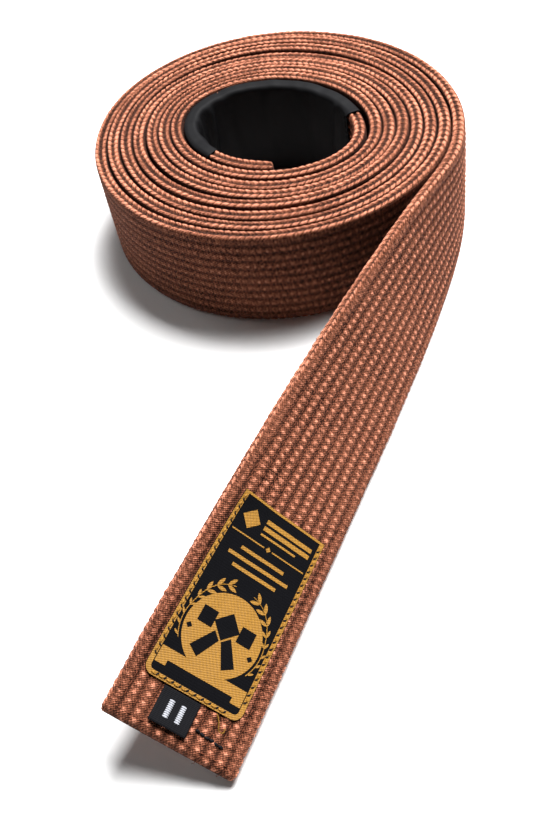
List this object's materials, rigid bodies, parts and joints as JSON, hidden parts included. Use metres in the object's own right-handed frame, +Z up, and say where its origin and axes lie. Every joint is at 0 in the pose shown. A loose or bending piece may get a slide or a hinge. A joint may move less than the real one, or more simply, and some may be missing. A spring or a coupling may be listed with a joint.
{
  "type": "martial arts belt",
  "caption": "Martial arts belt rolled on its edge into an oval coil, with a black rank sleeve inside and a free outer end that leans over and carries a woven label and a size tab.",
  "frame": {"origin": "centre of the whole object's footprint, on the surface that it stands on", "axes": "+Z up from that surface, across the belt's width in the coil; -Y along the free outer end, from the coil towards its tip; +X to the side that the label faces towards"},
  "size_m": [0.1724, 0.3117, 0.0466],
  "materials": {
    "brown_cover": "matte pearl-weave cotton, terracotta brown",
    "core": "undyed cotton padding",
    "brown_thread": "matte cotton thread, terracotta brown",
    "black_sleeve": "smooth satin-faced cotton, black",
    "black_thread": "polyester thread, black",
    "label_weave": "damask woven polyester, black with gold",
    "gold_thread": "satin rayon thread, gold",
    "tab_ribbon": "woven satin ribbon, black",
    "white_thread": "woven polyester, white"
  },
  "bodies": {
    "coil": {"coil_cover_front": "brown_cover", "coil_cover_back": "brown_cover", "coil_core": "core", "inner_end_seam": "brown_thread", "rank_sleeve": "black_sleeve", "rank_sleeve_seam_inner": "black_thread", "rank_sleeve_seam_outer": "black_thread"},
    "tail": {"tail_cover_front": "brown_cover", "tail_cover_back": "brown_cover", "tail_core": "core", "tail_quilt_row_01": "brown_thread", "tail_quilt_row_02": "brown_thread", "tail_quilt_row_03": "brown_thread", "tail_quilt_row_04": "brown_thread", "tail_quilt_row_05": "brown_thread", "tail_quilt_row_06": "brown_thread", "tail_quilt_row_07": "brown_thread", "tail_quilt_row_08": "brown_thread", "tail_quilt_row_09": "brown_thread", "tail_quilt_row_10": "brown_thread", "tail_quilt_row_11": "brown_thread"},
    "tail_end": {"end_cover_front": "brown_cover", "end_cover_back": "brown_cover", "end_core": "core", "end_quilt_row_01": "brown_thread", "end_quilt_row_02": "brown_thread", "end_quilt_row_03": "brown_thread", "end_quilt_row_04": "brown_thread", "end_quilt_row_05": "brown_thread", "end_quilt_row_06": "brown_thread", "end_quilt_row_07": "brown_thread", "end_quilt_row_08": "brown_thread", "end_quilt_row_09": "brown_thread", "end_quilt_row_10": "brown_thread", "end_quilt_row_11": "brown_thread", "outer_end_seam": "brown_thread", "label_patch": "label_weave", "label_border_stitch": "gold_thread", "end_tack_stitch": "black_thread", "loose_thread": "gold_thread"},
    "size_tab": {"size_tab": "tab_ribbon", "size_tab_mark_1": "white_thread", "size_tab_mark_2": "white_thread"}
  },
  "joints": [
    {"name": "tail_swing", "type": "hinge", "parent": "coil", "child": "tail", "pos_m": [0.07047, 0.10381, 0], "axis": [0, 0, 1], "range_deg": [0, 40]},
    {"name": "tail_end_lift", "type": "hinge", "parent": "tail", "child": "tail_end", "pos_m": [0.07062, -0.024, 0.01969], "axis": [-0.5929, -0.0094, 0.8052], "range_deg": [0, 50]},
    {"name": "size_tab_flip", "type": "hinge", "parent": "tail_end", "child": "size_tab", "pos_m": [0.06477, -0.14161, 0.0187], "axis": [-0.8567, -0.0008, 0.5159], "range_deg": [0, 140]}
  ]
}
